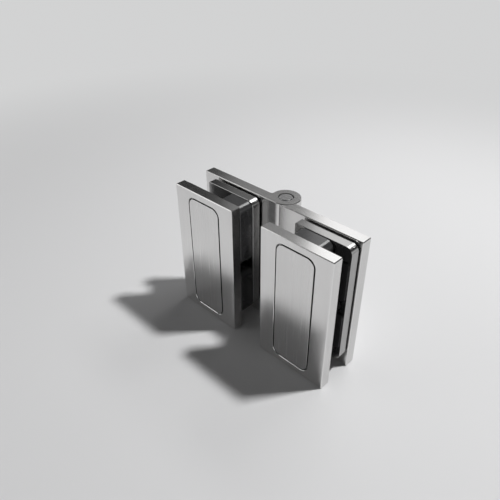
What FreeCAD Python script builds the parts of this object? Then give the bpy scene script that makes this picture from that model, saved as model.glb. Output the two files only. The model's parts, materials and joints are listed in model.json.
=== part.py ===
import FreeCAD, Part
import math
import os
import re
import Sketcher

# Glass door hinge: two glass clamps on two leaves, joined by a barrel at the back.
# Millimetres. X runs along the width, +Y points from the clamp plates to the barrel, +Z is up.
# The origin is the middle of the base: halfway along the width and the depth, at the bottom.

Vector = FreeCAD.Vector

# Driving dimensions
sizes = {
    # whole hinge
    "overall_width": 120.0,
    "plate_height": 90.0,
    "clamp_gap": 22.4,
    "edge_chamfer": 0.4,
    # depth of each layer, from the front to the back
    "clamp_thickness": 7.0,
    "front_gasket_thickness": 1.0,
    "glass_space": 8.5,
    "glass_pad_thickness": 1.0,
    "inner_thickness": 5.8,
    "backing_thickness": 1.2,
    "leaf_thickness": 7.2,
    # cover and its pocket
    "cover_width": 25.2,
    "cover_height": 79.4,
    "cover_thickness": 1.5,
    "cover_corner": 4.6,
    "cover_groove": 0.9,
    "cover_chamfer": 0.08,
    "pocket_chamfer": 0.25,
    # inner plate
    "inner_width": 38.2,
    "inner_height": 79.3,
    "inner_low": 9.2,
    "inner_corner": 4.3,
    "inner_small_corner": 0.8,
    "inner_setback": 1.2,
    "inner_edge": 0.2,
    # spacer blocks
    "left_spacer_width": 16.8,
    "right_spacer_width": 20.4,
    "spacer_over_screw": 10.05,
    "spacer_gap": 6.6,
    "spacer_corner": 4.2,
    "spacer_small_corner": 1.0,
    "spacer_rebate": 0.6,
    "spacer_chamfer": 0.3,
    "right_glass_bite": 12.6,
    # pads and gaskets
    "gasket_margin": 1.0,
    "gasket_corner": 3.0,
    "pad_clearance": 0.6,
    "pad_height": 25.0,
    "pad_corner": 2.0,
    "backing_width": 30.0,
    "backing_height": 68.0,
    # clamp screws and the sleeves round them
    "screw_diameter": 6.0,
    "screw_spacing": 35.0,
    "screw_head_diameter": 10.0,
    "screw_head_height": 3.2,
    "screw_head_space": 0.3,
    "screw_clearance": 0.3,
    "screw_socket": 4.0,
    "screw_socket_depth": 2.0,
    "screw_chamfer": 0.4,
    "thread_clearance": 0.02,
    "sleeve_wall": 1.7,
    "sleeve_clearance": 0.15,
    "sleeve_spacer_gap": 2.6,
    # countersunk screws between inner plate and leaf
    "leaf_screw_diameter": 5.0,
    "leaf_screw_head_diameter": 9.2,
    "leaf_screw_head_recess": 0.2,
    "leaf_screw_depth": 5.4,
    "leaf_screw_spacing": 22.0,
    "leaf_screw_socket": 3.0,
    "leaf_screw_socket_depth": 1.8,
    "drill_space": 0.4,
    # barrel
    "barrel_diameter": 18.4,
    "end_knuckle_height": 22.5,
    "leaf_clearance": 0.45,
    "barrel_fillet": 1.2,
    "pin_diameter": 8.0,
    "pin_fit": 0.01,
    "pin_chamfer": 0.6,
    "bush_wall": 1.4,
    "bush_gap": 14.6,
    "bush_running_clearance": 0.05,
    "bush_flange_thickness": 1.2,
    "bush_flange_setback": 0.3,
    "plug_diameter": 9.6,
    "plug_fit": 0.02,
    "plug_height": 3.0,
    "plug_chamfer": 0.35,
    "plug_groove": 0.7,
    "plug_groove_depth": 0.9,
}

# Lengths worked out from them, as expressions on the sheet
half_width = "(overall_width / 2)"
half_height = "(plate_height / 2)"
clamp_width = "((overall_width - clamp_gap) / 2)"
clamp_centre = "((overall_width + clamp_gap) / 4)"
barrel_radius = "(barrel_diameter / 2)"
sweep_radius = "(barrel_diameter / 2 + leaf_clearance)"
middle_gap = "(end_knuckle_height + bush_flange_thickness)"

glass_front = "(clamp_thickness + front_gasket_thickness)"
glass_back = f"({glass_front} + glass_space)"
inner_front = f"({glass_back} + glass_pad_thickness)"
inner_back = f"({inner_front} + inner_thickness)"
leaf_front = f"({inner_back} + backing_thickness)"
axis_depth = f"({leaf_front} + {barrel_radius})"
whole_depth = f"({leaf_front} + barrel_diameter)"
front_face = f"(-{whole_depth} / 2)"

pocket_width = "(cover_width + 2 * cover_groove)"
pocket_height = "(cover_height + 2 * cover_groove)"
head_floor = "(cover_thickness + screw_head_space + screw_head_height)"
screw_bore = "(screw_diameter + 2 * screw_clearance)"
thread_bore = "(screw_diameter + 2 * thread_clearance)"
sleeve_diameter = f"({screw_bore} + 2 * sleeve_wall)"
sleeve_bore = f"({sleeve_diameter} + 2 * sleeve_clearance)"
leaf_thread_bore = "(leaf_screw_diameter + 2 * thread_clearance)"
leaf_screw_cone = "((leaf_screw_head_diameter - leaf_screw_diameter) / 2)"
spacer_depth = "(front_gasket_thickness + glass_space)"
bush_bore = "(pin_diameter / 2 + bush_running_clearance)"
bush_radius = f"({bush_bore} + bush_wall)"
bush_flange_radius = f"({barrel_radius} - bush_flange_setback)"

inner_middle = "(inner_low + inner_height / 2)"
screw_levels = {
    "lower": f"({inner_middle} - screw_spacing / 2)",
    "upper": f"({inner_middle} + screw_spacing / 2)",
}
# the lower spacer reaches a little above the lower screw, the upper one fills the rest but a gap
lower_spacer_height = "(inner_height / 2 - screw_spacing / 2 + spacer_over_screw)"
spacer_heights = {
    "lower": lower_spacer_height,
    "upper": f"(inner_height - {lower_spacer_height} - spacer_gap)",
}
spacer_lows = {
    "lower": "inner_low",
    "upper": f"(inner_low + {lower_spacer_height} + spacer_gap)",
}
bush_length = f"((plate_height - bush_gap) / 2 - {middle_gap})"

# What differs between the two clamps: the left parts stand at the inner end of the clamp,
# the right ones towards its outer end, and only the left screws cross the glass slot in sleeves.
# Distances are from the hinge's middle.
clamps = {
    "left": {
        "side": -1,
        "inner_centre": "(clamp_gap / 2 + inner_width / 2)",
        "spacer_width": "left_spacer_width",
        "spacer_centre": "(clamp_gap / 2 + left_spacer_width / 2)",
        "screw_centre": f"(clamp_gap / 2 + left_spacer_width + sleeve_spacer_gap + {sleeve_diameter} / 2)",
        "inner_end": "(clamp_gap / 2 + inner_width)",
    },
    "right": {
        "side": 1,
        "inner_centre": "(overall_width / 2 - inner_setback - inner_width / 2)",
        "spacer_width": "right_spacer_width",
        "spacer_centre": "(overall_width / 2 - right_glass_bite - right_spacer_width / 2)",
        "screw_centre": "(overall_width / 2 - right_glass_bite - right_spacer_width / 2)",
        "inner_end": "(overall_width / 2 - inner_setback)",
    },
}

doc = FreeCAD.newDocument("GlassDoorHinge")
sheet = doc.addObject("Spreadsheet::Sheet", "Sizes")
for row, (name, number) in enumerate(sizes.items(), start=1):
    sheet.set(f"A{row}", name)
    sheet.set(f"B{row}", str(number))
    sheet.setAlias(f"B{row}", name)
doc.recompute()


def bound(words):
    """The same expression with the sheet's name before each size."""
    return re.sub(r"[a-z_]{3,}", lambda word: "Sizes." + word[0] if word[0] in sizes else word[0], words)


def number_of(words):
    """The value that an expression on the sheet has now."""
    return float(sheet.evalExpression(bound(words)))


def signed(side, words):
    """The expression on the left (-1) or right (+1) side of the hinge's middle."""
    return words if side > 0 else f"-({words})"


pieces = []


def new_body(label):
    body = doc.addObject("PartDesign::Body", label)
    body.Label = label
    pieces.append(body)
    return body


def place(piece, across="0", depth="0", level="0"):
    """Puts a piece: across from the middle, depth behind the front faces, level above the base."""
    piece.setExpression("Placement.Base.x", bound(across))
    piece.setExpression("Placement.Base.y", bound(f"{front_face} + ({depth})"))
    piece.setExpression("Placement.Base.z", bound(level))


def new_sketch(body, name, role, offset="0"):
    """A sketch on one of the body's own origin planes, moved along the plane's normal."""
    sketch = body.newObject("Sketcher::SketchObject", name)
    plane = next(item for item in body.Origin.OriginFeatures if item.Role == role)
    sketch.AttachmentSupport = [(plane, "")]
    sketch.MapMode = "FlatFace"
    if offset != "0":
        sketch.setExpression("AttachmentOffset.Base.z", bound(offset))
    return sketch


def fix(sketch, kind, first, first_point, second, second_point, words):
    """A dimension of the sketch, bound to an expression on the sheet."""
    index = sketch.addConstraint(
        Sketcher.Constraint(kind, first, first_point, second, second_point, number_of(words))
    )
    sketch.setExpression(f"Constraints[{index}]", bound(words))


def fix_radius(sketch, curve, words):
    index = sketch.addConstraint(Sketcher.Constraint("Radius", curve, number_of(words)))
    sketch.setExpression(f"Constraints[{index}]", bound(words))


def polygon(sketch, corners):
    """A closed outline of straight lines, each corner fixed from the sketch's origin."""
    spots = [Vector(number_of(across), number_of(up), 0) for across, up in corners]
    count = len(spots)
    first = sketch.GeometryCount
    for index in range(count):
        line = Part.LineSegment(spots[index], spots[(index + 1) % count])
        sketch.addGeometry(line, False)
    for index in range(count):
        following = first + (index + 1) % count
        sketch.addConstraint(Sketcher.Constraint("Coincident", first + index, 2, following, 1))
    for index, (across, up) in enumerate(corners):
        fix(sketch, "DistanceX", -1, 1, first + index, 1, across)
        fix(sketch, "DistanceY", -1, 1, first + index, 1, up)


def rectangle(sketch, width, height):
    """A rectangle centred on the sketch's origin."""
    left, right = f"-({width}) / 2", f"({width}) / 2"
    low, high = f"-({height}) / 2", f"({height}) / 2"
    polygon(sketch, [(left, low), (right, low), (right, high), (left, high)])


def rounded_rectangle(sketch, width, height, corner, small_corner=None):
    """A rounded rectangle centred on the sketch's origin; its corners at -X can have a smaller radius."""
    across = number_of(f"{width} / 2")
    up = number_of(f"{height} / 2")
    radius = number_of(corner)
    small = number_of(small_corner or corner)
    # corners in turn from the lower right one: (place of the corner, its radius, way to its arc's centre)
    corners = [
        (across, -up, radius, -1, 1),
        (across, up, radius, -1, -1),
        (-across, up, small, 1, -1),
        (-across, -up, small, 1, 1),
    ]
    arcs = []
    for quarter, (corner_across, corner_up, bend, way_across, way_up) in enumerate(corners, start=-1):
        centre = Vector(corner_across + way_across * bend, corner_up + way_up * bend, 0)
        turns = (quarter * math.pi / 2, (quarter + 1) * math.pi / 2)
        arcs.append(Part.ArcOfCircle(Part.Circle(centre, Vector(0, 0, 1), bend), *turns))
    first = sketch.GeometryCount
    for index in range(4):
        sketch.addGeometry(Part.LineSegment(arcs[index - 1].EndPoint, arcs[index].StartPoint), False)
    for arc in arcs:
        sketch.addGeometry(arc, False)
    for index in range(4):
        line, arc = first + index, first + 4 + index
        following = first + (index + 1) % 4
        sketch.addConstraint(Sketcher.Constraint("Tangent", line, 2, arc, 1))
        sketch.addConstraint(Sketcher.Constraint("Tangent", arc, 2, following, 1))
        sketch.addConstraint(Sketcher.Constraint("Horizontal" if index % 2 == 0 else "Vertical", line))
        if index % 2:
            sketch.addConstraint(Sketcher.Constraint("Equal", arc, arc - 1))
    fix_radius(sketch, first + 4, corner)
    fix_radius(sketch, first + 6, small_corner or corner)
    fix(sketch, "DistanceY", -1, 1, first, 1, f"-({height}) / 2")
    fix(sketch, "DistanceX", -1, 1, first + 1, 1, f"({width}) / 2")
    fix(sketch, "DistanceY", -1, 1, first + 2, 1, f"({height}) / 2")
    fix(sketch, "DistanceX", -1, 1, first + 3, 1, f"-({width}) / 2")


def circle(sketch, diameter, across="0", up="0"):
    centre = Vector(number_of(across), number_of(up), 0)
    index = sketch.addGeometry(
        Part.Circle(centre, Vector(0, 0, 1), number_of(f"({diameter}) / 2")), False
    )
    fix_radius(sketch, index, f"({diameter}) / 2")
    if across == "0" and up == "0":
        sketch.addConstraint(Sketcher.Constraint("Coincident", index, 3, -1, 1))
        return
    fix(sketch, "DistanceX", -1, 1, index, 3, across)
    fix(sketch, "DistanceY", -1, 1, index, 3, up)


def check_state(item):
    if "Invalid" in item.State or "Error" in item.State:
        raise RuntimeError(f"{item.Label} failed: {item.State}")


def extrude(body, sketch, kind, length, reverse=False, through=False):
    """A pad or a pocket of the sketch; a pocket has to take something away."""
    before = body.Shape.Volume if kind == "Pocket" else 0.0
    feature = body.newObject(f"PartDesign::{kind}", f"{sketch.Name}{kind}")
    feature.Profile = sketch
    feature.Reversed = reverse
    if through:
        feature.Type = "ThroughAll"
    else:
        feature.setExpression("Length", bound(length))
    doc.recompute()
    check_state(feature)
    if kind == "Pocket" and not body.Shape.Volume < before:
        raise RuntimeError(f"{body.Label}: {feature.Name} cuts nothing")
    return feature


def edge_names(feature, wanted):
    """The names of the feature's edges that the test picks."""
    return [f"Edge{index}" for index, edge in enumerate(feature.Shape.Edges, start=1) if wanted(edge)]


def finish_edges(body, feature, kind, words, wanted):
    """A fillet or a chamfer on the picked edges of the body's last feature."""
    names = edge_names(feature, wanted)
    if not names:
        raise RuntimeError(f"{body.Label}: no edge for {kind}")
    finish = body.newObject(f"PartDesign::{kind}", f"{feature.Name}{kind}")
    finish.Base = (feature, names)
    finish.setExpression("Radius" if kind == "Fillet" else "Size", bound(words))
    doc.recompute()
    check_state(finish)
    return finish


same_place = 0.001


def is_close(first, second):
    return abs(first - second) < same_place


def lies_at_depth(depth):
    """A test for the edges in the plane that lies that far behind the body's own origin."""
    wanted_depth = number_of(depth)

    def test(edge):
        box = edge.BoundBox
        return is_close(box.YMin, wanted_depth) and is_close(box.YMax, wanted_depth)

    return test


def hexagon(sketch, across_flats):
    """Six corners round the sketch's origin, from the distance across the flats."""
    radius = f"({across_flats} / 2 / cos(30 deg))"
    turns = range(30, 390, 60)
    polygon(sketch, [(f"{radius} * cos({turn} deg)", f"{radius} * sin({turn} deg)") for turn in turns])


def rounded_plate(label, width, height, thickness, corner, small_corner=None):
    """A plate with rounded corners, its front face centred on its own origin."""
    body = new_body(label)
    outline = new_sketch(body, "Outline", "XZ_Plane")
    rounded_rectangle(outline, width, height, corner, small_corner)
    plate = extrude(body, outline, "Pad", thickness, reverse=True)
    return body, plate


def turned_piece(label, profile):
    """A piece turned round Z, from its half profile of (radius, level) corners."""
    body = new_body(label)
    section = new_sketch(body, "Section", "XZ_Plane")
    polygon(section, profile)
    turn = body.newObject("PartDesign::Revolution", "Turning")
    turn.Profile = section
    turn.ReferenceAxis = (section, ["V_Axis"])
    turn.Angle = 360
    doc.recompute()
    check_state(turn)
    return body


# Leaves: one solid each, plate and knuckles together. Their own origin is on the barrel's axis, at the base.
def leaf(side_name):
    side = clamps[side_name]["side"]
    inner_centre = clamps[side_name]["inner_centre"]
    body = new_body(f"{side_name}_leaf")
    place(body, depth=axis_depth)

    plan = new_sketch(body, "Plan", "XY_Plane")
    radius = number_of(barrel_radius)
    back = number_of(f"leaf_thickness - {barrel_radius}")
    reach = side * math.sqrt(radius ** 2 - back ** 2)
    outer = side * number_of(half_width)
    tangent_spot = Vector(0, -radius, 0)
    back_spot = Vector(reach, back, 0)
    # the barrel's arc, which runs anticlockwise from its first end
    turn_of_back = math.atan2(back, reach)
    if side < 0:
        front_and_back_end = (1, 2)
        turns = (-math.pi / 2, turn_of_back + 2 * math.pi)
    else:
        front_and_back_end = (2, 1)
        turns = (turn_of_back, 3 * math.pi / 2)
    barrel = Part.Circle(Vector(), Vector(0, 0, 1), radius)
    plan.addGeometry(Part.LineSegment(Vector(outer, -radius, 0), tangent_spot), False)
    plan.addGeometry(Part.ArcOfCircle(barrel, *turns), False)
    plan.addGeometry(Part.LineSegment(back_spot, Vector(outer, back, 0)), False)
    plan.addGeometry(Part.LineSegment(Vector(outer, back, 0), Vector(outer, -radius, 0)), False)
    plan.addConstraint(Sketcher.Constraint("Coincident", 0, 2, 1, front_and_back_end[0]))
    plan.addConstraint(Sketcher.Constraint("Coincident", 1, front_and_back_end[1], 2, 1))
    plan.addConstraint(Sketcher.Constraint("Coincident", 2, 2, 3, 1))
    plan.addConstraint(Sketcher.Constraint("Coincident", 3, 2, 0, 1))
    plan.addConstraint(Sketcher.Constraint("Coincident", 1, 3, -1, 1))
    plan.addConstraint(Sketcher.Constraint("PointOnObject", 0, 2, -2))
    plan.addConstraint(Sketcher.Constraint("Horizontal", 0))
    plan.addConstraint(Sketcher.Constraint("Horizontal", 2))
    plan.addConstraint(Sketcher.Constraint("Vertical", 3))
    fix_radius(plan, 1, barrel_radius)
    fix(plan, "DistanceX", -1, 1, 3, 1, signed(side, half_width))
    fix(plan, "DistanceY", 0, 1, 3, 1, "leaf_thickness")
    block = extrude(body, plan, "Pad", "plate_height")

    # the inner corner where the knuckle leaves the back face
    def back_corner(edge):
        box = edge.BoundBox
        return is_close(box.XMin, reach) and is_close(box.XMax, reach)

    block = finish_edges(body, block, "Fillet", "barrel_fillet", back_corner)

    # room for the other leaf's knuckles, a little wider than the barrel
    if side < 0:
        room = new_sketch(body, "MiddleRoom", "XY_Plane", "end_knuckle_height")
        circle(room, f"2 * {sweep_radius}")
        extrude(body, room, "Pocket", "plate_height - 2 * end_knuckle_height", reverse=True)
    else:
        low_room = new_sketch(body, "LowerRoom", "XY_Plane")
        circle(low_room, f"2 * {sweep_radius}")
        extrude(body, low_room, "Pocket", middle_gap, reverse=True)
        high_room = new_sketch(body, "UpperRoom", "XY_Plane", "plate_height")
        circle(high_room, f"2 * {sweep_radius}")
        extrude(body, high_room, "Pocket", middle_gap)

    # bore for the pin (left) or for the bushes (right)
    bore = new_sketch(body, "Bore", "XY_Plane", "plate_height")
    bore_radius = "pin_diameter / 2 + pin_fit" if side < 0 else f"{bush_radius} + pin_fit"
    circle(bore, f"2 * ({bore_radius})")
    extrude(body, bore, "Pocket", None, through=True)
    if side < 0:
        plug_seat = "plug_diameter + 2 * plug_fit"
        high_seat = new_sketch(body, "UpperSeat", "XY_Plane", "plate_height")
        circle(high_seat, plug_seat)
        extrude(body, high_seat, "Pocket", "plug_height")
        low_seat = new_sketch(body, "LowerSeat", "XY_Plane")
        circle(low_seat, plug_seat)
        extrude(body, low_seat, "Pocket", "plug_height", reverse=True)

    # blind threaded holes for the countersunk screws, from the front face
    holes = new_sketch(body, "ScrewHoles", "XZ_Plane", barrel_radius)
    for step in (-1, 1):
        across = signed(side, f"{inner_centre} + {step} * leaf_screw_spacing / 2")
        circle(holes, leaf_thread_bore, across, inner_middle)
    drilled = extrude(body, holes, "Pocket", "leaf_screw_depth + drill_space")

    # bevelled outer edges: those round the plate's far end and those that run up to it
    def rim(edge):
        box = edge.BoundBox
        return is_close(max(abs(box.XMin), abs(box.XMax)), number_of(half_width))

    finish_edges(body, drilled, "Chamfer", "edge_chamfer", rim)


# Clamp plate: flat plate with a pocket for the cover, and counterbored screw holes in the pocket's floor
def clamp_plate(side_name):
    body = new_body(f"{side_name}_clamp_plate")
    clamp = clamps[side_name]
    place(body, across=signed(clamp["side"], clamp_centre), level=half_height)
    outline = new_sketch(body, "Outline", "XZ_Plane")
    rectangle(outline, clamp_width, "plate_height")
    plate = extrude(body, outline, "Pad", "clamp_thickness", reverse=True)
    finish_edges(body, plate, "Chamfer", "edge_chamfer", lambda edge: True)

    pocket_sketch = new_sketch(body, "CoverSeat", "XZ_Plane")
    rounded_rectangle(pocket_sketch, pocket_width, pocket_height, "cover_corner + cover_groove")
    seat = extrude(body, pocket_sketch, "Pocket", "cover_thickness")

    # the pocket's rim: edges of the front face that lie no further out than the pocket
    def pocket_rim(edge):
        box = edge.BoundBox
        beside = max(abs(box.XMin), abs(box.XMax)) < number_of(f"{pocket_width} / 2") + same_place
        return beside and lies_at_depth("0")(edge)

    finish_edges(body, seat, "Chamfer", "pocket_chamfer", pocket_rim)

    across = signed(clamp["side"], f"{clamp['screw_centre']} - {clamp_centre}")
    heads = new_sketch(body, "HeadSeats", "XZ_Plane")
    bores = new_sketch(body, "ScrewBores", "XZ_Plane")
    for level in screw_levels.values():
        circle(heads, "screw_head_diameter + 2 * screw_clearance", across, f"{level} - {half_height}")
        circle(bores, screw_bore, across, f"{level} - {half_height}")
    extrude(body, heads, "Pocket", head_floor)
    extrude(body, bores, "Pocket", None, through=True)


# Cover: thin inlay that fills the pocket, flush with the plate, with a groove left round it
def cover(side_name):
    body, plate = rounded_plate(
        f"{side_name}_cover", "cover_width", "cover_height", "cover_thickness", "cover_corner"
    )
    place(body, across=signed(clamps[side_name]["side"], clamp_centre), level=half_height)
    finish_edges(body, plate, "Chamfer", "cover_chamfer", lies_at_depth("0"))


# Inner plate: well rounded at its right end, nearly square at its left one, with two threaded holes
# and two countersunk ones
def inner_plate(side_name):
    clamp = clamps[side_name]
    body, plate = rounded_plate(
        f"{side_name}_inner_plate", "inner_width", "inner_height", "inner_thickness", "inner_corner",
        "inner_small_corner",
    )
    place(body, across=signed(clamp["side"], clamp["inner_centre"]), depth=inner_front, level=inner_middle)
    plate = finish_edges(
        body, plate, "Chamfer", "inner_edge",
        lambda edge: lies_at_depth("0")(edge) or lies_at_depth("inner_thickness")(edge),
    )
    threads = new_sketch(body, "Threads", "XZ_Plane")
    across = signed(clamp["side"], f"{clamp['screw_centre']} - {clamp['inner_centre']}")
    for level in screw_levels.values():
        circle(threads, thread_bore, across, f"{level} - {inner_middle}")
    extrude(body, threads, "Pocket", None, through=True)
    # countersinks: a cone turned round each hole's own axis
    for step in (-1, 1):
        seat = new_sketch(body, "Countersink", "XY_Plane")
        spot = f"({step} * leaf_screw_spacing / 2)"
        seat_radius = "(leaf_screw_head_diameter / 2 + screw_clearance)"
        shank_radius = "(leaf_screw_diameter / 2 + screw_clearance)"
        recess = "leaf_screw_head_recess"
        polygon(seat, [
            (f"{spot}", "0"),
            (f"{spot} + {seat_radius}", "0"),
            (f"{spot} + {seat_radius}", recess),
            (f"{spot} + {shank_radius}", f"{recess} + {leaf_screw_cone}"),
            (f"{spot} + {shank_radius}", "inner_thickness"),
            (f"{spot}", "inner_thickness"),
        ])
        before = body.Shape.Volume
        groove = body.newObject("PartDesign::Groove", "CountersinkGroove")
        groove.Profile = seat
        groove.ReferenceAxis = (seat, ["Edge6"])
        groove.Angle = 360
        doc.recompute()
        if not body.Shape.Volume < before:
            raise RuntimeError(f"{body.Label}: the countersink cuts nothing")


# Backing pad between inner plate and leaf, set back from their edges
def backing_pad(side_name):
    clamp = clamps[side_name]
    body, _ = rounded_plate(
        f"{side_name}_backing_pad", "backing_width", "backing_height", "backing_thickness", "pad_corner"
    )
    place(body, across=signed(clamp["side"], clamp["inner_centre"]), depth=inner_back, level=inner_middle)
    holes = new_sketch(body, "ScrewHoles", "XZ_Plane")
    for step in (-1, 1):
        circle(holes, "leaf_screw_diameter + 2 * screw_clearance", f"{step} * leaf_screw_spacing / 2")
    extrude(body, holes, "Pocket", None, through=True)


# Front gasket: on the clamp plate's back, from the spacers to the outer end
def front_gasket(side_name):
    clamp = clamps[side_name]
    start = f"({clamp['spacer_centre']} + {clamp['spacer_width']} / 2 + pad_clearance)"
    finish = "(overall_width / 2 - gasket_margin)"
    width = f"({finish} - {start})"
    height = "(plate_height - 2 * gasket_margin)"
    body, _ = rounded_plate(
        f"{side_name}_front_gasket", width, height, "front_gasket_thickness", "gasket_corner"
    )
    centre = f"(({finish} + {start}) / 2)"
    place(body, across=signed(clamp["side"], centre), depth="clamp_thickness", level=half_height)
    if side_name == "left":
        holes = new_sketch(body, "SleeveHoles", "XZ_Plane")
        across = signed(clamp["side"], f"{clamp['screw_centre']} - {centre}")
        for level in screw_levels.values():
            circle(holes, sleeve_bore, across, f"{level} - {half_height}")
        extrude(body, holes, "Pocket", None, through=True)


# Glass pads: an upper and a lower one on the inner plate's front face, beside the spacers
def glass_pad(side_name, position):
    clamp = clamps[side_name]
    start = f"({clamp['spacer_centre']} + {clamp['spacer_width']} / 2 + pad_clearance)"
    finish = f"({clamp['inner_end']} - gasket_margin)"
    body, _ = rounded_plate(
        f"{side_name}_{position}_glass_pad", f"({finish} - {start})", "pad_height",
        "glass_pad_thickness", "pad_corner",
    )
    centre = f"(({finish} + {start}) / 2)"
    place(body, across=signed(clamp["side"], centre), depth=glass_back, level=screw_levels[position])
    if side_name == "left":
        hole = new_sketch(body, "SleeveHole", "XZ_Plane")
        circle(hole, sleeve_bore, signed(clamp["side"], f"{clamp['screw_centre']} - {centre}"))
        extrude(body, hole, "Pocket", None, through=True)


# Spacer block: from clamp plate to inner plate, with the inner plate's outline of corners and a narrow
# rebate at its back
def spacer(side_name, position):
    clamp = clamps[side_name]
    height = spacer_heights[position]
    middle = f"({spacer_lows[position]} + {height} / 2)"
    body, block = rounded_plate(
        f"{side_name}_{position}_spacer", clamp["spacer_width"], height, spacer_depth, "spacer_corner",
        "spacer_small_corner",
    )
    place(body, across=signed(clamp["side"], clamp["spacer_centre"]), depth="clamp_thickness", level=middle)
    finish_edges(body, block, "Chamfer", "spacer_chamfer", lies_at_depth("0"))
    foot = new_sketch(body, "Foot", "XZ_Plane", f"-{spacer_depth}")
    foot_width = f"({clamp['spacer_width']} - 2 * spacer_rebate)"
    foot_height = f"({height} - 2 * spacer_rebate)"
    rounded_rectangle(foot, foot_width, foot_height, "spacer_corner - spacer_rebate",
                      "spacer_small_corner - spacer_rebate")
    extrude(body, foot, "Pad", "glass_pad_thickness", reverse=True)
    if side_name == "right":
        bore = new_sketch(body, "ScrewBore", "XZ_Plane")
        circle(bore, screw_bore, "0", f"{screw_levels[position]} - {middle}")
        extrude(body, bore, "Pocket", None, through=True)


# Screws are turned round Z, tip up, and then laid with the tip towards the barrel
tip_to_back = FreeCAD.Rotation(Vector(1, 0, 0), -90)


def clamp_screw(side_name, position):
    clamp = clamps[side_name]
    shank = "(screw_diameter / 2)"
    head = "(screw_head_diameter / 2)"
    length = f"({inner_back} - {head_floor} - screw_head_space)"
    body = turned_piece(f"{side_name}_{position}_clamp_screw", [
        ("0", "-screw_head_height"),
        (f"{head} - screw_chamfer", "-screw_head_height"),
        (head, "-screw_head_height + screw_chamfer"),
        (head, "0"),
        (shank, "0"),
        (shank, f"{length} - screw_chamfer"),
        (f"{shank} - screw_chamfer", length),
        ("0", length),
    ])
    socket = new_sketch(body, "Socket", "XY_Plane", "-screw_head_height")
    hexagon(socket, "screw_socket")
    extrude(body, socket, "Pocket", "screw_socket_depth", reverse=True)
    body.Placement = FreeCAD.Placement(Vector(), tip_to_back)
    across = signed(clamp["side"], clamp["screw_centre"])
    place(body, across=across, depth=head_floor, level=screw_levels[position])


def leaf_screw(side_name, position, step):
    clamp = clamps[side_name]
    shank = "(leaf_screw_diameter / 2)"
    head = "(leaf_screw_head_diameter / 2)"
    top = "leaf_screw_head_recess"
    length = "(inner_thickness + backing_thickness + leaf_screw_depth)"
    body = turned_piece(f"{side_name}_{position}_leaf_screw", [
        ("0", top),
        (head, top),
        (shank, f"{top} + {leaf_screw_cone}"),
        (shank, f"{length} - screw_chamfer"),
        (f"{shank} - screw_chamfer", length),
        ("0", length),
    ])
    socket = new_sketch(body, "Socket", "XY_Plane", top)
    hexagon(socket, "leaf_screw_socket")
    extrude(body, socket, "Pocket", "leaf_screw_socket_depth", reverse=True)
    body.Placement = FreeCAD.Placement(Vector(), tip_to_back)
    across = signed(clamp["side"], f"{clamp['inner_centre']} + {step} * leaf_screw_spacing / 2")
    place(body, across=across, depth=inner_front, level=inner_middle)


# Sleeve: tube round a left clamp screw, where it crosses the glass slot
def sleeve(position):
    inside = f"({screw_bore} / 2)"
    outside = f"({sleeve_diameter} / 2)"
    length = f"({inner_front} - clamp_thickness)"
    body = turned_piece(f"left_{position}_sleeve", [
        (inside, "0"), (outside, "0"), (outside, length), (inside, length),
    ])
    body.Placement = FreeCAD.Placement(Vector(), tip_to_back)
    across = signed(clamps["left"]["side"], clamps["left"]["screw_centre"])
    place(body, across=across, depth="clamp_thickness", level=screw_levels[position])


# Hinge pin: fixed in the left leaf's end knuckles, between the two plugs
def hinge_pin():
    radius = "(pin_diameter / 2)"
    low, high = "plug_height", "plate_height - plug_height"
    body = turned_piece("hinge_pin", [
        ("0", low),
        (f"{radius} - pin_chamfer", low),
        (radius, f"{low} + pin_chamfer"),
        (radius, f"{high} - pin_chamfer"),
        (f"{radius} - pin_chamfer", high),
        ("0", high),
    ])
    place(body, depth=axis_depth)


# Bushes: in the ends of the right leaf's knuckle, their flanges between the knuckles
def bush(position):
    end = middle_gap if position == "lower" else f"(plate_height - {middle_gap})"
    inward = "1" if position == "lower" else "-1"
    flange = f"({end} - {inward} * bush_flange_thickness)"
    tip = f"({end} + {inward} * {bush_length})"
    body = turned_piece(f"{position}_bush", [
        (bush_bore, flange),
        (bush_flange_radius, flange),
        (bush_flange_radius, end),
        (bush_radius, end),
        (bush_radius, tip),
        (bush_bore, tip),
    ])
    place(body, depth=axis_depth)


# Plugs: close the pin's bore, flush with the barrel's ends, with a groove turned round the face
def plug(position):
    outward = "1" if position == "top" else "-1"
    face = "plate_height" if position == "top" else "0"
    radius = "(plug_diameter / 2)"
    face_radius = f"({radius} - plug_groove)"
    body = turned_piece(f"{position}_plug", [
        ("0", f"{face} - {outward} * plug_height"),
        (radius, f"{face} - {outward} * plug_height"),
        (radius, f"{face} - {outward} * plug_groove_depth"),
        (face_radius, f"{face} - {outward} * plug_groove_depth"),
        (face_radius, f"{face} - {outward} * plug_chamfer"),
        (f"{face_radius} - plug_chamfer", face),
        ("0", face),
    ])
    place(body, depth=axis_depth)


leaf("left")
leaf("right")
hinge_pin()
for bush_position in ("lower", "upper"):
    bush(bush_position)
for plug_position in ("top", "bottom"):
    plug(plug_position)
for clamp_side in clamps:
    clamp_plate(clamp_side)
    cover(clamp_side)
    inner_plate(clamp_side)
    backing_pad(clamp_side)
    front_gasket(clamp_side)
    for level_name in ("lower", "upper"):
        glass_pad(clamp_side, level_name)
        spacer(clamp_side, level_name)
        clamp_screw(clamp_side, level_name)
    leaf_screw(clamp_side, "near", -1)
    leaf_screw(clamp_side, "far", 1)
for level_name in ("lower", "upper"):
    sleeve(level_name)
doc.recompute()

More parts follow.
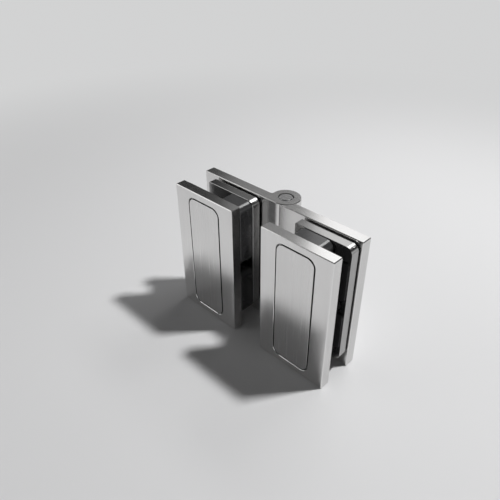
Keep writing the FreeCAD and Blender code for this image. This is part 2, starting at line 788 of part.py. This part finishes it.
# Every object has to be sound before anything is written
for item in doc.Objects:
    check_state(item)
os.makedirs("parts", exist_ok=True)
for piece in pieces:
    shape = piece.Shape
    if shape.isNull() or not shape.isValid() or len(shape.Solids) != 1:
        raise RuntimeError(f"{piece.Label} is not one sound solid")
for piece in pieces:
    piece.Shape.exportStep(f"parts/{piece.Label}.step")
    box = piece.Shape.BoundBox
    print(f"{piece.Label:28s} {piece.Shape.Volume:10.1f} mm3  x {box.XMin:7.2f} {box.XMax:7.2f}"
          f"  y {box.YMin:7.2f} {box.YMax:7.2f}  z {box.ZMin:7.2f} {box.ZMax:7.2f}")
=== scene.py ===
import json
import math

import bpy
import numpy as np
from mathutils import Matrix, Vector

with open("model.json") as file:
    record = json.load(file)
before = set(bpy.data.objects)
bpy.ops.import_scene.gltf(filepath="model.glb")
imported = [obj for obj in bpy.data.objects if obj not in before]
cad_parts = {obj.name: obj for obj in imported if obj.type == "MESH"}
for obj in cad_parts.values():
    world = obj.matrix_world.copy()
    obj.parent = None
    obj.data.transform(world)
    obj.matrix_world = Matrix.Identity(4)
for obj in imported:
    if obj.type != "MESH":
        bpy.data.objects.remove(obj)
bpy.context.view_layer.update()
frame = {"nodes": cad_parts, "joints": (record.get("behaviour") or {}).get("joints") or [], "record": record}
nodes = frame["nodes"]
mm = 0.001  # lengths below are written in millimetres and used in metres
print("frame loaded,", len(nodes), "nodes")


# node trees

def newMaterial(name):
    material = bpy.data.materials.new(name)
    material.use_nodes = True
    material.node_tree.nodes.clear()
    return material, material.node_tree


def addNode(tree, kind, sockets=None, **settings):
    # one node, with its plain values by socket name or number
    node = tree.nodes.new(kind)
    for key, value in settings.items():
        setattr(node, key, value)
    for key, value in (sockets or {}).items():
        node.inputs[key].default_value = value
    return node


def feed(tree, socket, value):
    # the value is another node's output or a plain number or colour
    if isinstance(value, bpy.types.NodeSocket):
        tree.links.new(value, socket)
    else:
        socket.default_value = value


def mathNode(tree, operation, *values):
    node = addNode(tree, "ShaderNodeMath", operation=operation)
    for socket, value in zip(node.inputs, values):
        feed(tree, socket, value)
    return node.outputs[0]


def joinAxes(tree, *values):
    node = addNode(tree, "ShaderNodeCombineXYZ")
    for socket, value in zip(node.inputs, values):
        feed(tree, socket, value)
    return node.outputs[0]


def splitAxes(tree, vector):
    # the outputs X, Y and Z
    node = addNode(tree, "ShaderNodeSeparateXYZ")
    tree.links.new(vector, node.inputs["Vector"])
    return node.outputs


def mixNumbers(tree, share, first, second):
    node = addNode(tree, "ShaderNodeMix", data_type="FLOAT")
    for place, value in zip((0, 2, 3), (share, first, second)):
        feed(tree, node.inputs[place], value)
    return node.outputs[0]


def mixColours(tree, share, first, second, blend="MIX"):
    node = addNode(tree, "ShaderNodeMix", data_type="RGBA", blend_type=blend)
    for key, value in (("Factor", share), ("A", first), ("B", second)):
        feed(tree, node.inputs[key], value)
    return node.outputs["Result"]


def opaque(red, green, blue):
    return (red, green, blue, 1)


def grey(level):
    return opaque(level, level, level)


def mapRange(tree, value, start, end, low, high, curve="LINEAR"):
    # start..end becomes low..high, and what lies beyond an end stays at it
    limits = {"From Min": start, "From Max": end, "To Min": low, "To Max": high}
    node = addNode(tree, "ShaderNodeMapRange", limits, interpolation_type=curve)
    tree.links.new(value, node.inputs["Value"])
    return node.outputs["Result"]


def fillRange(tree, noise, low, high):
    # a noise keeps to its middle, so this part of it is stretched to low..high
    middle = (0.3, 0.7)
    return mapRange(tree, noise, *middle, low, high)


def stretchedNoise(tree, coordinates, grain, detail=3.0, shift=(0.0, 0.0, 0.0)):
    # noise whose grains measure grain (x, y, z) in mm; a shift keeps two noises from lining up
    scale = [1 / (size * mm) for size in grain]
    mapping = addNode(tree, "ShaderNodeMapping", {"Scale": scale, "Location": shift})
    noise = addNode(tree, "ShaderNodeTexNoise", {"Scale": 1.0, "Detail": detail, "Roughness": 0.6})
    tree.links.new(coordinates, mapping.inputs["Vector"])
    tree.links.new(mapping.outputs["Vector"], noise.inputs["Vector"])
    return noise.outputs["Fac"]


def addBump(tree, shader, height, depth):
    # depth in mm
    bump = addNode(tree, "ShaderNodeBump", {"Strength": 1.0, "Distance": depth * mm})
    tree.links.new(height, bump.inputs["Height"])
    tree.links.new(bump.outputs["Normal"], shader.inputs["Normal"])


def addOutput(tree, surface):
    output = addNode(tree, "ShaderNodeOutputMaterial")
    tree.links.new(surface, output.inputs["Surface"])


# brushed steel

brushedSteel = {
    # light and dark: the metal's brightness between its strokes and in them
    # fine and depth: width and depth of a stroke in mm; streak: width of the wide faint ones
    # stretch: how far the strokes draw a highlight out; edge: how much smoother the rubbed edges are
    "leaf_steel": {"light": 0.87, "dark": 0.75, "rough": (0.19, 0.27), "fine": 0.16, "streak": 1.6,
                   "depth": 0.0012, "stretch": 0.45, "edge": 0.5},
    "clamp_steel": {"light": 0.90, "dark": 0.80, "rough": (0.17, 0.24), "fine": 0.14, "streak": 2.2,
                    "depth": 0.0008, "stretch": 0.35, "edge": 0.5},
    "cover_steel": {"light": 0.90, "dark": 0.76, "rough": (0.20, 0.30), "fine": 0.18, "streak": 1.1,
                    "depth": 0.0022, "stretch": 0.65, "edge": 0.3},
    "inner_steel": {"light": 0.50, "dark": 0.44, "rough": (0.17, 0.24), "fine": 0.20, "streak": 3.0,
                    "depth": 0.0004, "stretch": 0.20, "edge": 0.4},
    "screw_steel": {"light": 0.66, "dark": 0.52, "rough": (0.22, 0.34), "fine": 0.20, "streak": 1.0,
                    "depth": 0.0015, "stretch": 0.30, "edge": 0.3},
}
brushLook = {
    "stroke": 55.0,  # length of a brushing line
    "finePart": 0.45,  # share of the fine strokes in colour and roughness, the rest is streaks and patches
    "streakShift": (5.0, 2.0, 8.0),
    "patch": 22.0,  # size of the faint cloudy patches
    "patchPart": 0.35,
    "patchShift": (3.0, 7.0, 1.0),
    "warmth": 0.985,  # blue against red: stainless is a little warm
    "topFrom": 0.75,  # a face whose normal runs along Z by more than this is brushed as a top
    "endFrom": 0.9,  # and one whose normal runs along X by more than this is an end face
    "endShade": 0.80,  # painted shade: the end faces are darkened to this share of the other faces' brightness
    "edgeWidth": 0.25,  # how far the handled edges are rubbed smooth
    "paintedShadeReach": 1.4,  # how wide a gap still gets painted shade inside
    "paintedShadeOpen": (0.26, 0.66),  # openness at which the painted shade in a gap is darkest, and from which a face has none
    "paintedShadeColour": 0.10,  # share of the metal's brightness that the painted shade leaves at the bottom of a narrow gap
}


def facesAlong(tree, part, limit):
    # 1 where the normal's part along an axis is past the limit on either side, else 0
    return mathNode(tree, "GREATER_THAN", mathNode(tree, "ABSOLUTE", part), limit)


def brushNoises(tree, spot, onTop, look):
    # the fine strokes alone, and all marks together; strokes run up the walls and along the tops
    def strokes(width, **more):
        long = brushLook["stroke"]
        upright = stretchedNoise(tree, spot, (width, width, long), **more)
        lying = stretchedNoise(tree, spot, (long, width, width), **more)
        return mixNumbers(tree, onTop, upright, lying)

    fine = strokes(look["fine"], detail=2.0)
    streaks = strokes(look["streak"], shift=brushLook["streakShift"])
    size = brushLook["patch"]
    patches = stretchedNoise(tree, spot, (size, size, size), detail=2.0, shift=brushLook["patchShift"])
    cloudy = mixNumbers(tree, brushLook["patchPart"], streaks, patches)
    return fine, mixNumbers(tree, brushLook["finePart"], cloudy, fine)


def warmGrey(level):
    # the tint of stainless steel
    warmth = brushLook["warmth"]
    return opaque(level, level * (1 + warmth) / 2, level * warmth)


def paintShadeInGaps(tree, colour):
    # painted shade in narrow gaps: open faces keep their colour, deep ones lose most of it
    reach = brushLook["paintedShadeReach"] * mm
    openness = addNode(tree, "ShaderNodeAmbientOcclusion", {"Distance": reach}, samples=12)
    share = mapRange(tree, openness.outputs["AO"], *brushLook["paintedShadeOpen"], 0.0, 1.0)
    return mixColours(tree, share, grey(brushLook["paintedShadeColour"]), colour)


def wornEdges(tree, amount):
    # 0 on open faces, and up to the amount at handled edges, where the bevelled normal leans away
    bevel = addNode(tree, "ShaderNodeBevel", {"Radius": brushLook["edgeWidth"] * mm}, samples=4)
    geometry = addNode(tree, "ShaderNodeNewGeometry")
    facing = addNode(tree, "ShaderNodeVectorMath", operation="DOT_PRODUCT")
    tree.links.new(bevel.outputs["Normal"], facing.inputs[0])
    tree.links.new(geometry.outputs["Normal"], facing.inputs[1])
    return mathNode(tree, "MULTIPLY", mathNode(tree, "SUBTRACT", 1.0, facing.outputs["Value"]), amount)


def acrossStrokes(tree, normal, onTop):
    # the direction across the strokes, in world space: the normal crossed with the way they run
    cross = addNode(tree, "ShaderNodeVectorMath", operation="CROSS_PRODUCT")
    tree.links.new(normal, cross.inputs[0])
    tree.links.new(joinAxes(tree, onTop, 0.0, mathNode(tree, "SUBTRACT", 1.0, onTop)), cross.inputs[1])
    turn = addNode(tree, "ShaderNodeVectorTransform", vector_type="VECTOR",
                   convert_from="OBJECT", convert_to="WORLD")
    tree.links.new(cross.outputs["Vector"], turn.inputs["Vector"])
    return turn.outputs["Vector"]


def steel(name, look):
    material, tree = newMaterial(name)
    place = addNode(tree, "ShaderNodeTexCoord")
    normal = place.outputs["Normal"]
    along = splitAxes(tree, normal)
    onTop = facesAlong(tree, along["Z"], brushLook["topFrom"])
    onEnd = facesAlong(tree, along["X"], brushLook["endFrom"])
    fine, marks = brushNoises(tree, place.outputs["Object"], onTop, look)
    spread = fillRange(tree, marks, 0.0, 1.0)
    metal = mixColours(tree, spread, warmGrey(look["dark"]), warmGrey(look["light"]))
    # painted shade: the end faces along X are made darker
    metal = mixColours(tree, onEnd, metal, grey(brushLook["endShade"]), "MULTIPLY")
    roughness = fillRange(tree, marks, *look["rough"])
    roughness = mathNode(tree, "SUBTRACT", roughness, wornEdges(tree, look["edge"]))
    shader = addNode(tree, "ShaderNodeBsdfPrincipled", {"Metallic": 1.0, "Anisotropic": look["stretch"]})
    # the metal's colour, with painted shade in its narrow gaps
    tree.links.new(paintShadeInGaps(tree, metal), shader.inputs["Base Color"])
    tree.links.new(roughness, shader.inputs["Roughness"])
    tree.links.new(acrossStrokes(tree, normal, onTop), shader.inputs["Tangent"])
    addBump(tree, shader, fine, look["depth"])
    addOutput(tree, shader.outputs["BSDF"])
    return material


# turned steel of the pin and its plugs

turnedSteel = {
    # ring and depth: width and depth of a turning mark in mm
    "pin_steel": {"light": 0.72, "dark": 0.60, "rough": (0.14, 0.22), "ring": 0.35, "depth": 0.002},
    "plug_steel": {"light": 0.80, "dark": 0.68, "rough": (0.16, 0.26), "ring": 0.30, "depth": 0.004},
}


def turned(name, look):
    # marks that run round the hinge's axis: noise of the distance from it and of the height
    material, tree = newMaterial(name)
    place = addNode(tree, "ShaderNodeTexCoord")
    axis = frame["joints"][0]["pos_m"]
    centred = addNode(tree, "ShaderNodeMapping", {"Location": (-axis[0], -axis[1], 0)})
    tree.links.new(place.outputs["Object"], centred.inputs["Vector"])
    spot = splitAxes(tree, centred.outputs["Vector"])
    squares = [mathNode(tree, "MULTIPLY", spot[axisName], spot[axisName]) for axisName in ("X", "Y")]
    away = mathNode(tree, "SQRT", mathNode(tree, "ADD", *squares))
    ring = look["ring"]
    rings = stretchedNoise(tree, joinAxes(tree, away, 0.0, spot["Z"]), (ring, ring, ring))
    spread = fillRange(tree, rings, 0.0, 1.0)
    metal = mixColours(tree, spread, grey(look["dark"]), grey(look["light"]))
    shader = addNode(tree, "ShaderNodeBsdfPrincipled", {"Metallic": 1.0})
    tree.links.new(metal, shader.inputs["Base Color"])
    tree.links.new(fillRange(tree, rings, *look["rough"]), shader.inputs["Roughness"])
    addBump(tree, shader, rings, look["depth"])
    addOutput(tree, shader.outputs["BSDF"])
    return material


# plastic and rubber

softParts = {
    # grain and depth: size and depth of the surface's grains in mm
    "bush_nylon": {"light": (0.045, 0.045, 0.046), "dark": (0.026, 0.026, 0.027), "rough": (0.40, 0.52),
                   "grain": 1.2, "depth": 0.008, "gloss": 0.5},
    "sleeve_nylon": {"light": (0.70, 0.69, 0.64), "dark": (0.62, 0.61, 0.56), "rough": (0.35, 0.50),
                     "grain": 1.5, "depth": 0.01, "gloss": 0.5},
    "spacer_plastic": {"light": (0.038, 0.038, 0.039), "dark": (0.028, 0.028, 0.029), "rough": (0.14, 0.18),
                       "grain": 0.9, "depth": 0.001, "gloss": 0.8},
    "pad_rubber": {"light": (0.030, 0.030, 0.031), "dark": (0.016, 0.016, 0.017), "rough": (0.50, 0.68),
                   "grain": 0.5, "depth": 0.02, "gloss": 0.5},
}


def moulded(name, look):
    material, tree = newMaterial(name)
    place = addNode(tree, "ShaderNodeTexCoord")
    grain = look["grain"]
    spots = stretchedNoise(tree, place.outputs["Object"], (grain, grain, grain), detail=4.0)
    spread = fillRange(tree, spots, 0.0, 1.0)
    colour = mixColours(tree, spread, opaque(*look["dark"]), opaque(*look["light"]))
    shader = addNode(tree, "ShaderNodeBsdfPrincipled", {"Specular IOR Level": look["gloss"]})
    tree.links.new(colour, shader.inputs["Base Color"])
    tree.links.new(fillRange(tree, spots, *look["rough"]), shader.inputs["Roughness"])
    addBump(tree, shader, spots, look["depth"])
    addOutput(tree, shader.outputs["BSDF"])
    return material


finishes = {}
for makeFinish, looks in ((steel, brushedSteel), (turned, turnedSteel), (moulded, softParts)):
    for finishName, finishLook in looks.items():
        finishes[finishName] = makeFinish(finishName, finishLook)
slotOfNode = {part["node"]: part["material_slot"] for part in frame["record"]["subparts"]}
for nodeName, item in nodes.items():
    for place in item.material_slots:
        place.material = finishes[slotOfNode[nodeName]]
print("finishes set on", len(nodes), "nodes")


# floor

floorShape = {
    "size": 5600.0,
    "lines": 121,  # grid lines along each side
    "flatRadius": 1500.0,  # the floor is flat this far out, then its rim rises to close the view
    "slope": 900.0,  # how far out the rim goes on rising
    "rise": 1500.0,
}
floorLook = {
    "paint": (0.64, 0.64, 0.645),
    "rough": 0.9,
    "gloss": 0.2,
    "paleLevel": 0.65,  # brightness of the plain tone that the floor turns to between the two distances below
    "paleFrom": 200.0,
    "paleTo": 650.0,
    "fadeFrom": 350.0,  # between these two heights the rim's pale tone fades to the dark of the room
    "fadeTo": 800.0,
}
roomLight = {"colour": (0.993, 0.997, 1.0), "level": 0.03}  # the floor's pale tone has this colour too


def floorPaint():
    # matt paint near the object; farther out the eye, metal and glass see one plain pale tone
    material, tree = newMaterial("floorPaint")
    place = addNode(tree, "ShaderNodeTexCoord")
    spot = place.outputs["Object"]
    paintLook = {"Base Color": opaque(*floorLook["paint"]), "Roughness": floorLook["rough"],
                 "Specular IOR Level": floorLook["gloss"]}
    paint = addNode(tree, "ShaderNodeBsdfPrincipled", paintLook)
    heights = (floorLook["fadeFrom"] * mm, floorLook["fadeTo"] * mm)
    levels = (floorLook["paleLevel"], roomLight["level"])
    brightness = mapRange(tree, splitAxes(tree, spot)["Z"], *heights, *levels, "SMOOTHSTEP")
    plain = addNode(tree, "ShaderNodeEmission", {"Color": opaque(*roomLight["colour"])})
    tree.links.new(brightness, plain.inputs["Strength"])
    away = addNode(tree, "ShaderNodeVectorMath", operation="LENGTH")
    tree.links.new(spot, away.inputs[0])
    distances = (floorLook["paleFrom"] * mm, floorLook["paleTo"] * mm)
    far = mapRange(tree, away.outputs["Value"], *distances, 0.0, 1.0, "SMOOTHSTEP")
    path = addNode(tree, "ShaderNodeLightPath")
    seen = mathNode(tree, "MAXIMUM", path.outputs["Is Camera Ray"], path.outputs["Is Glossy Ray"])
    seen = mathNode(tree, "MAXIMUM", seen, path.outputs["Is Transmission Ray"])
    both = addNode(tree, "ShaderNodeMixShader")
    tree.links.new(mathNode(tree, "MULTIPLY", seen, far), both.inputs["Fac"])
    tree.links.new(paint.outputs["BSDF"], both.inputs[1])
    tree.links.new(plain.outputs["Emission"], both.inputs[2])
    addOutput(tree, both.outputs["Shader"])
    return material


def makeFloor():
    # climb runs from 0 at flatRadius to 1 a slope farther out, and the rim starts and ends level
    lines = floorShape["lines"]
    line = np.linspace(-0.5, 0.5, lines) * floorShape["size"]
    x, y = np.meshgrid(line, line)
    climb = np.clip((np.hypot(x, y) - floorShape["flatRadius"]) / floorShape["slope"], 0, 1)
    height = floorShape["rise"] * climb * climb * (3 - 2 * climb)
    points = np.stack([x, y, height], axis=-1).reshape(-1, 3) * mm
    first = (np.arange(lines - 1)[:, None] * lines + np.arange(lines - 1)).reshape(-1)
    faces = np.stack([first, first + 1, first + lines + 1, first + lines], axis=-1)
    mesh = bpy.data.meshes.new("floor")
    mesh.from_pydata(points.tolist(), [], faces.tolist())
    mesh.polygons.foreach_set("use_smooth", np.ones(len(faces), dtype=bool))
    floor = bpy.data.objects.new("floor", mesh)
    bpy.context.scene.collection.objects.link(floor)
    mesh.materials.append(floorPaint())


makeFloor()
print("floor made")


# lamps and the room

lamps = {
    # where it stands, the point it looks at, width and height in mm, and its power in watts
    "overheadBehind": {"at": (430, 500, 1300), "aim": (0, 0, 40), "size": (120, 110), "power": 19.3},
    "backLeftPanel": {"at": (-120, 333, 345), "aim": (60, 0, 90), "size": (160, 240), "power": 0.12},
    "farLeftPanel": {"at": (-300, 400, 370), "aim": (0, 0, 90), "size": (240, 300), "power": 0.045},
    "frontLeftPanel": {"at": (-331, -355, 353), "aim": (0, 0, 50), "size": (330, 230), "power": 0.25},
    "cornerPanel": {"at": (10, 425, 590), "aim": (0, 0, 88), "size": (310, 110), "power": 0.66},
}


def lookingAt(start, target):
    # the turn that points -Z at the target with Y up
    return (Vector(target) - Vector(start)).to_track_quat("-Z", "Y")


def makeLamp(name, lamp):
    light = bpy.data.lights.new(name, "AREA")
    light.shape = "RECTANGLE"
    light.size, light.size_y = (side * mm for side in lamp["size"])
    light.energy = lamp["power"]
    item = bpy.data.objects.new(name, light)
    item.location = [value * mm for value in lamp["at"]]
    item.rotation_mode = "QUATERNION"
    item.rotation_quaternion = lookingAt(lamp["at"], lamp["aim"])
    bpy.context.scene.collection.objects.link(item)


def makeRoom():
    world = bpy.data.worlds.new("studio")
    world.use_nodes = True
    tree = world.node_tree
    tree.nodes.clear()
    skyLook = {"Color": opaque(*roomLight["colour"]), "Strength": roomLight["level"]}
    sky = addNode(tree, "ShaderNodeBackground", skyLook)
    output = addNode(tree, "ShaderNodeOutputWorld")
    tree.links.new(sky.outputs["Background"], output.inputs["Surface"])
    bpy.context.scene.world = world


makeRoom()
for lampName, lamp in lamps.items():
    makeLamp(lampName, lamp)
bpy.context.scene.view_settings.view_transform = "Standard"
print("room and", len(lamps), "lamps made")


# camera

photoCamera = {
    "lens": 37.30,
    "sensor": 36.0,
    "azimuth": 44.434,  # degrees from the front towards +X
    "elevation": 34.754,
    "roll": -0.367,
    "aim": (-17.712, 0.0, 49.908),
    "distance": 328.43,
    "clipStart": 10.0,
}


def makeCamera():
    azimuth, elevation, roll = (math.radians(photoCamera[key]) for key in ("azimuth", "elevation", "roll"))
    back = Vector((
        math.sin(azimuth) * math.cos(elevation),
        -math.cos(azimuth) * math.cos(elevation),
        math.sin(elevation),
    ))
    right = Vector((0, 0, 1)).cross(back).normalized()
    up = back.cross(right)
    turnedRight = math.cos(roll) * right + math.sin(roll) * up
    turnedUp = math.cos(roll) * up - math.sin(roll) * right
    camera = bpy.data.cameras.new("photoCamera")
    camera.lens = photoCamera["lens"]
    camera.sensor_width = photoCamera["sensor"]
    camera.clip_start = photoCamera["clipStart"] * mm
    item = bpy.data.objects.new("photoCamera", camera)
    spot = (Vector(photoCamera["aim"]) + back * photoCamera["distance"]) * mm
    item.matrix_world = Matrix.Translation(spot) @ Matrix((turnedRight, turnedUp, back)).transposed().to_4x4()
    bpy.context.scene.collection.objects.link(item)
    bpy.context.scene.camera = item


makeCamera()
print("camera set")
